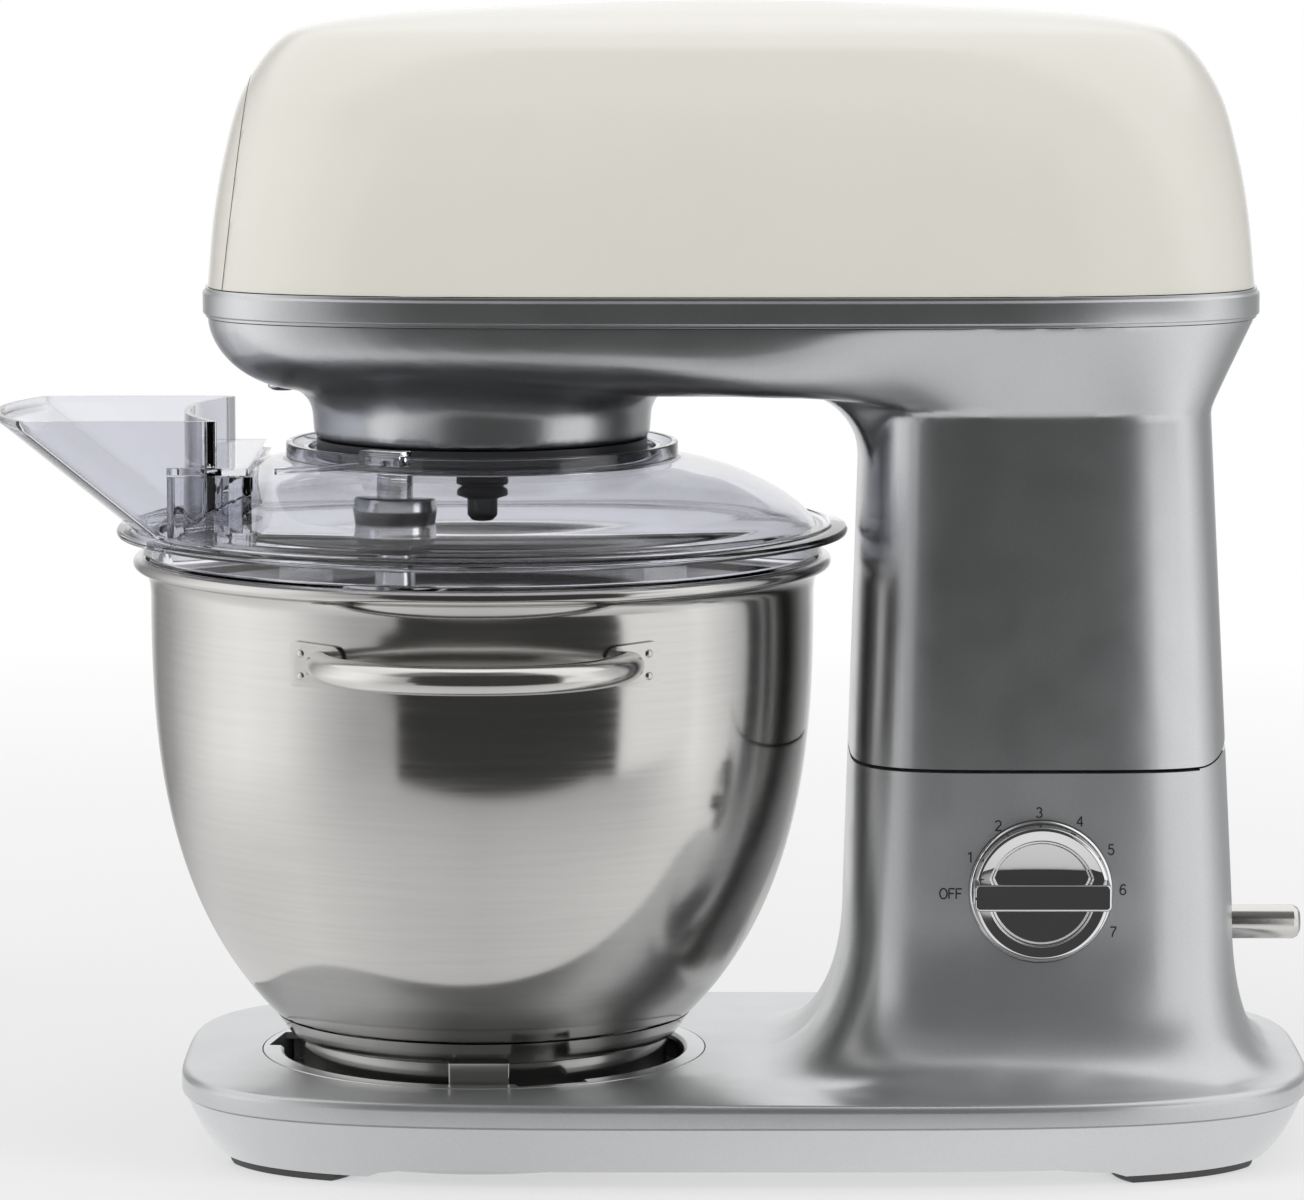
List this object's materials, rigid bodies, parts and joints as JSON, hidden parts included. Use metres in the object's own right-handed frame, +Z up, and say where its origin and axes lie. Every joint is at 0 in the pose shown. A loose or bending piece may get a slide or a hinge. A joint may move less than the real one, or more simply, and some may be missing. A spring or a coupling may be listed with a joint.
{
  "type": "stand mixer",
  "caption": "Tilt-head planetary stand mixer with a steel bowl, clear splash lid with a pouring chute, dough hook, chrome speed dial and a rear release lever.",
  "frame": {"origin": "on the table, under the axis of the bowl, in the middle of the centre foot's flat underside", "axes": "+Z up; the head points along -X and the column stands at +X, so +X is the object's length; the speed dial and the bowl's handle face -Y"},
  "size_m": [0.4343, 0.2633, 0.379],
  "materials": {
    "silver_paint": "satin metallic silver paint",
    "silver_plastic": "moulded, painted to match the casting",
    "cream_gloss": "high-gloss cream",
    "bright_trim": "satin plated trim",
    "steel": "polished stainless steel",
    "machined_steel": "machined",
    "chrome": "mirror plated",
    "clear_plastic": "clear moulded plastic",
    "aluminium": "die cast, unpainted",
    "dark_plastic": "dark grey moulded plastic",
    "grey_seal": "soft dark grey",
    "rubber": "matt",
    "nylon": "moulded gear nylon",
    "brass": "machined",
    "laminations": "stacked laminations",
    "copper": "wound copper, varnished",
    "board": "coated circuit board"
  },
  "bodies": {
    "base": {"base_casting": "silver_paint", "base_tray": "silver_plastic", "bowl_lock_ring": "bright_trim", "centre_foot": "silver_plastic", "cord_gland": "rubber", "control_board": "board", "hinge_bracket": "machined_steel", "hinge_pin": "machined_steel", "lever_pin": "machined_steel", "lever_spring": "machined_steel", "foot_1": "rubber", "foot_2": "rubber", "foot_3": "rubber", "foot_4": "rubber", "dial_bezel": "chrome", "speed_switch": "dark_plastic"},
    "dial": {"dial_knob": "chrome", "dial_shaft": "machined_steel"},
    "lever": {"release_lever": "machined_steel", "latch_hook": "machined_steel"},
    "bowl": {"bowl": "steel", "bowl_foot": "steel", "bowl_handle": "steel", "handle_bracket_left": "steel", "handle_bracket_right": "steel"},
    "head": {"arm_casting": "silver_paint", "trim_band": "bright_trim", "top_cover": "cream_gloss", "front_cap": "cream_gloss", "underside_fitting": "chrome", "lid_mount_ring": "grey_seal", "splash_lid": "clear_plastic", "feed_chute": "clear_plastic", "chute_clip_near": "clear_plastic", "chute_clip_far": "clear_plastic", "latch_striker": "machined_steel", "gearbox_frame": "aluminium", "ring_gear": "nylon", "hub_bearing": "machined_steel", "motor_bearing_front": "machined_steel", "motor_bearing_middle": "machined_steel", "motor_bearing_rear": "machined_steel", "motor_stator": "laminations", "motor_end_bracket": "aluminium"},
    "carrier": {"planet_carrier": "dark_plastic", "main_shaft": "machined_steel", "main_gear": "machined_steel"},
    "beater": {"beater_shaft": "machined_steel", "planet_gear": "machined_steel", "tool_coupling": "machined_steel", "dough_hook": "steel"},
    "counter": {"counter_shaft": "machined_steel", "counter_pinion": "machined_steel", "worm_wheel": "brass"},
    "rotor": {"motor_shaft": "machined_steel", "armature": "copper", "commutator": "copper", "cooling_fan": "dark_plastic"}
  },
  "joints": [
    {"name": "head_tilt", "type": "hinge", "parent": "base", "child": "head", "pos_m": [0.235, 0, 0.142], "axis": [0, 1, 0], "range_deg": [0, 38]},
    {"name": "carrier_spin", "type": "hinge", "parent": "head", "child": "carrier", "pos_m": [0, 0, 0.23], "axis": [0, 0, 1], "continuous": true},
    {"name": "beater_spin", "type": "hinge", "parent": "carrier", "child": "beater", "pos_m": [-0.029, 0, 0.22], "axis": [0, 0, 1], "continuous": true},
    {"name": "counter_spin", "type": "hinge", "parent": "head", "child": "counter", "pos_m": [0.03298, 0.026, 0.275], "axis": [0, 0, 1], "continuous": true},
    {"name": "motor_spin", "type": "hinge", "parent": "head", "child": "rotor", "pos_m": [0.03298, 0, 0.293], "axis": [1, 0, 0], "continuous": true},
    {"name": "speed_dial", "type": "hinge", "parent": "base", "child": "dial", "pos_m": [0.1829, -0.055, 0.0912], "axis": [0, 1, 0], "range_deg": [0, 210]},
    {"name": "release_press", "type": "hinge", "parent": "base", "child": "lever", "pos_m": [0.222, 0, 0.0717], "axis": [0, 1, 0], "range_deg": [0, 14], "stiffness_Nm_per_rad": 0.5, "springref_deg": -17.19},
    {"name": "bowl_twist", "type": "hinge", "parent": "base", "child": "bowl", "pos_m": [0, 0, 0.03], "axis": [0, 0, 1], "range_deg": [0, 20]}
  ],
  "couplings": [
    {"joint": "beater_spin", "follows": "carrier_spin", "ratio": -3},
    {"joint": "counter_spin", "follows": "carrier_spin", "ratio": -3},
    {"joint": "motor_spin", "follows": "carrier_spin", "ratio": 18}
  ]
}
